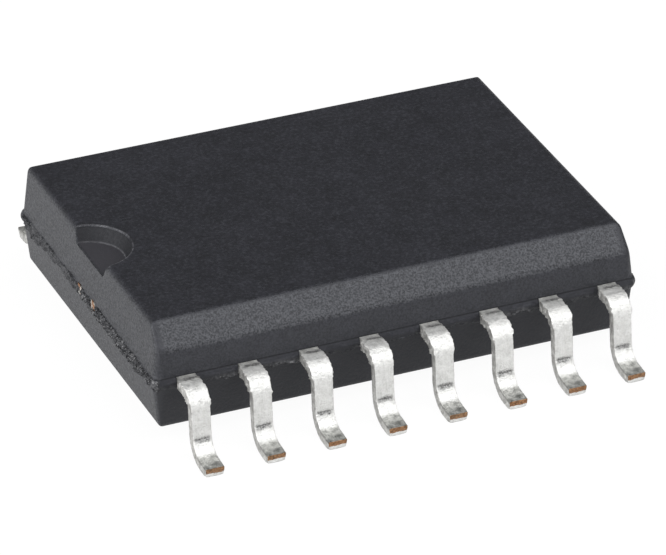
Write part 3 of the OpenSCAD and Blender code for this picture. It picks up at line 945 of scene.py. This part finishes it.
def in_notch():
    """1 on the wall and the floor of the notch, which an insert of the mould forms."""
    from_middle = new_node(tree, "ShaderNodeVectorMath", operation="DISTANCE")
    from_middle.inputs[1].default_value = (NOTCH_X, 0, TOP)
    join(tree, place, "Object", from_middle, 0)
    within = step_node(tree, from_middle, "Value", NOTCH_R + 0.03 * MM, NOTCH_R + 0.01 * MM)
    below = step_node(tree, skin_place, "Z", TOP - 0.03 * MM, TOP - 0.06 * MM)
    off_end = step_node(tree, skin_place, "X", -HALF_L + 0.12 * MM, -HALF_L + 0.16 * MM)
    deep = math_node(tree, "MULTIPLY", (within, "Result"), (below, "Result"))
    return math_node(tree, "MULTIPLY", (deep, "Value"), (off_end, "Result"))


# partly rubbed wear, partly a painted highlight: pale lines round the notch's rim and the edge
# of its floor
rim_line = ring_line(NOTCH_R, TOP - 0.03 * MM, TOP + 0.01 * MM)
floor_line = ring_line(NOTCH_R - NOTCH_SLOPE, TOP - NOTCH_DEPTH - 0.01 * MM,
                       TOP - NOTCH_DEPTH + 0.02 * MM)
notch_lines = math_node(tree, "MAXIMUM", (rim_line, "Value"), (floor_line, "Value"))
patchy = step_node(tree, mottle, "Shade", 0.25, 0.75, 0.2, 1.0)
worn_lit_lines = math_node(tree, "MULTIPLY", (notch_lines, "Value"), (patchy, "Result"))
rubbed_highlight = math_node(tree, "MULTIPLY", (worn_lit_lines, "Value"), (grit, "Shade"))
notch = in_notch()
# the notch's floor is paler than the top, and its wall darker
on_wall = step_node(tree, skin_place, "Z", TOP - NOTCH_DEPTH + 0.01 * MM,
                    TOP - NOTCH_DEPTH + 0.04 * MM)
notch_tone = mix_node(tree, (on_wall, "Result"), NOTCH_FLOOR, NOTCH_WALL)
notched = mix_node(tree, (notch, "Value"), (skin_tone, COLOUR), (notch_tone, COLOUR))
edge_lit = mix_node(tree, (rubbed_highlight, "Value"), (notched, COLOUR), RUBBED_EDGE_HIGHLIGHT)

# crumbs along the parting line, pale where a grain is broken and dark between, the dark partly
# the break's own and partly painted shade in its pits and under its ridge
broken_grain = placed_group(tree, grain, place, "Object", Grains_per_Metre=14000, Sharpness=4.0)
paler = math_node(tree, "MULTIPLY", (broken_grain, "Shade"), (mark, "X"))
shaded_rubble = mix_node(tree, (paler, "Value"), CRUMB_SHADE_DARK, CRUMB_PALE)
crumbly = step_node(tree, mark, "X", 0.0, 0.5, 0.0, 0.95)
broken_rim = mix_node(tree, (crumbly, "Result"), (edge_lit, COLOUR), (shaded_rubble, COLOUR))
grains = placed_group(tree, specks, place, "Object", Specks_per_Metre=16000, Threshold=0.575)
most_broken = step_node(tree, mark, "X", 0.4, 1.0)
pale_grains = math_node(tree, "MULTIPLY", (grains, "Mask"), (most_broken, "Result"))
grained = mix_node(tree, (pale_grains, "Value"), (broken_rim, COLOUR), BROKEN_GRAIN)
# painted shade: the groove over the rim along the sides is painted near black
groove_shaded = mix_node(tree, (mark, "Y"), (grained, COLOUR), GROOVE_SHADE)
join(tree, groove_shaded, COLOUR, shader, "Base Color")

# the break, the groove and the notch are each rougher than the skin by so much
BREAK_ROUGHER = 0.25
GROOVE_ROUGHER = 0.4
NOTCH_ROUGHER = 0.22
skin_rough = step_node(tree, grit, "Shade", 0.0, 1.0, 0.40, 0.54)
break_rough = math_node(tree, "MULTIPLY_ADD", (mark, "X"), BREAK_ROUGHER)
join(tree, skin_rough, "Result", break_rough, ADDEND)
groove_rough = math_node(tree, "MULTIPLY_ADD", (mark, "Y"), GROOVE_ROUGHER)
join(tree, break_rough, "Value", groove_rough, ADDEND)
notch_rough = math_node(tree, "MULTIPLY_ADD", (notch, "Value"), NOTCH_ROUGHER)
join(tree, groove_rough, "Value", notch_rough, ADDEND)
join(tree, notch_rough, "Value", shader, "Roughness")
skin_depth = step_node(tree, notch, "Value", 0.0, 1.0, 0.22, 0.07)
skin_relief = math_node(tree, "MULTIPLY", (grit, "Height"), (skin_depth, "Result"))
break_relief = math_node(tree, "MULTIPLY", (broken_grain, "Height"), (mark, "X"))
relief = math_node(tree, "ADD", (skin_relief, "Value"), (break_relief, "Value"))
bump(tree, shader, relief, "Value", 0.07 * MM)
skin.data.materials.clear()
skin.data.materials.append(epoxy)
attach(skin, "root")
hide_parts("mould_body")


# ---- Floor, lamps and camera: a white table in a dim room, a large soft lamp up in front and
# ---- a larger one low beside the notched end, so that the top stays dark and the end doesn't.

TABLE_WHITE = (0.72, 0.72, 0.72, 1)
GLOW = 1.03               # the table's even white, seen directly and in what mirrors it
SEEN_SHARE = 0.93
MIRRORED_SHARE = 0.48
ROOM_DIM = 0.17           # the room's light, and how bright it looks as a background
ROOM_SEEN = 1.0

bpy.ops.object.select_all(action="DESELECT")
bpy.ops.mesh.primitive_plane_add(size=3.0)
floor = bpy.context.active_object
floor.name = "white_table"
white = bpy.data.materials.new("white_table")
white.use_nodes = True
tree = white.node_tree
tree.nodes.clear()
table_out = new_node(tree, "ShaderNodeOutputMaterial")
painted = new_node(tree, "ShaderNodeBsdfDiffuse")
painted.inputs["Color"].default_value = TABLE_WHITE
glow = new_node(tree, "ShaderNodeEmission")
glow.inputs["Strength"].default_value = GLOW
table_path = new_node(tree, "ShaderNodeLightPath")
direct = math_node(tree, "MULTIPLY", (table_path, "Is Camera Ray"), SEEN_SHARE)
mirrored = math_node(tree, "MULTIPLY", (table_path, "Is Glossy Ray"), MIRRORED_SHARE)
share = math_node(tree, "MAXIMUM", (direct, "Value"), (mirrored, "Value"))
table_top = new_node(tree, "ShaderNodeMixShader")
join(tree, share, "Value", table_top, "Fac")
join(tree, painted, 0, table_top, 1)
join(tree, glow, 0, table_top, 2)
join(tree, table_top, 0, table_out, "Surface")
floor.data.materials.append(white)

world = bpy.context.scene.world or bpy.data.worlds.new("studio")
bpy.context.scene.world = world
world.use_nodes = True
tree = world.node_tree
tree.nodes.clear()
world_out = new_node(tree, "ShaderNodeOutputWorld")
room = new_node(tree, "ShaderNodeBackground")
room.inputs["Color"].default_value = (1, 1, 1, 1)
room_path = new_node(tree, "ShaderNodeLightPath")
seen = math_node(tree, "MAXIMUM", (room_path, "Is Camera Ray"),
                 (room_path, "Is Transmission Ray"))
brightness = step_node(tree, seen, "Value", 0.0, 1.0, ROOM_DIM, ROOM_SEEN)
join(tree, brightness, "Result", room, "Strength")
join(tree, room, "Background", world_out, "Surface")


def soft_lamp(name, direction, distance, size, power):
    """A square area lamp that looks at the middle of the object."""
    light = bpy.data.lights.new(name, "AREA")
    light.shape = "SQUARE"
    light.size = size
    light.energy = power
    lamp = bpy.data.objects.new(name, light)
    way = Vector(direction).normalized()
    lamp.location = way * distance
    lamp.rotation_euler = way.to_track_quat("Z", "Y").to_euler()
    bpy.context.collection.objects.link(lamp)


soft_lamp("key", direction=(0.335, -0.44, 0.82), distance=0.5, size=0.56, power=2.55)
soft_lamp("side", direction=(-0.86, -0.10, 0.36), distance=0.5, size=0.80, power=4.6)

CAMERA_AZIMUTH = math.radians(-22.894)
CAMERA_ELEVATION = math.radians(29.758)
CAMERA_ROLL = math.radians(-0.171)
CAMERA_DISTANCE = 115.0 * MM
AIM = Vector((-0.213, -0.920, 1.2)) * MM
LENS_MM = 314.2
SENSOR_MM = 36

back = Vector((math.sin(CAMERA_AZIMUTH) * math.cos(CAMERA_ELEVATION),
               -math.cos(CAMERA_AZIMUTH) * math.cos(CAMERA_ELEVATION),
               math.sin(CAMERA_ELEVATION)))
level_right = Vector((0, 0, 1)).cross(back).normalized()
level_up = back.cross(level_right)
rolled_right = level_right * math.cos(CAMERA_ROLL) + level_up * math.sin(CAMERA_ROLL)
rolled_up = level_up * math.cos(CAMERA_ROLL) - level_right * math.sin(CAMERA_ROLL)
lens = bpy.data.cameras.new("camera")
lens.sensor_width = SENSOR_MM
lens.lens = LENS_MM
lens.clip_start = MM
camera = bpy.data.objects.new("camera", lens)
turned = Matrix((rolled_right, rolled_up, back)).transposed().to_4x4()
camera.matrix_world = Matrix.Translation(AIM + back * CAMERA_DISTANCE) @ turned
bpy.context.collection.objects.link(camera)
bpy.context.scene.camera = camera
bpy.context.scene.view_settings.view_transform = "Standard"
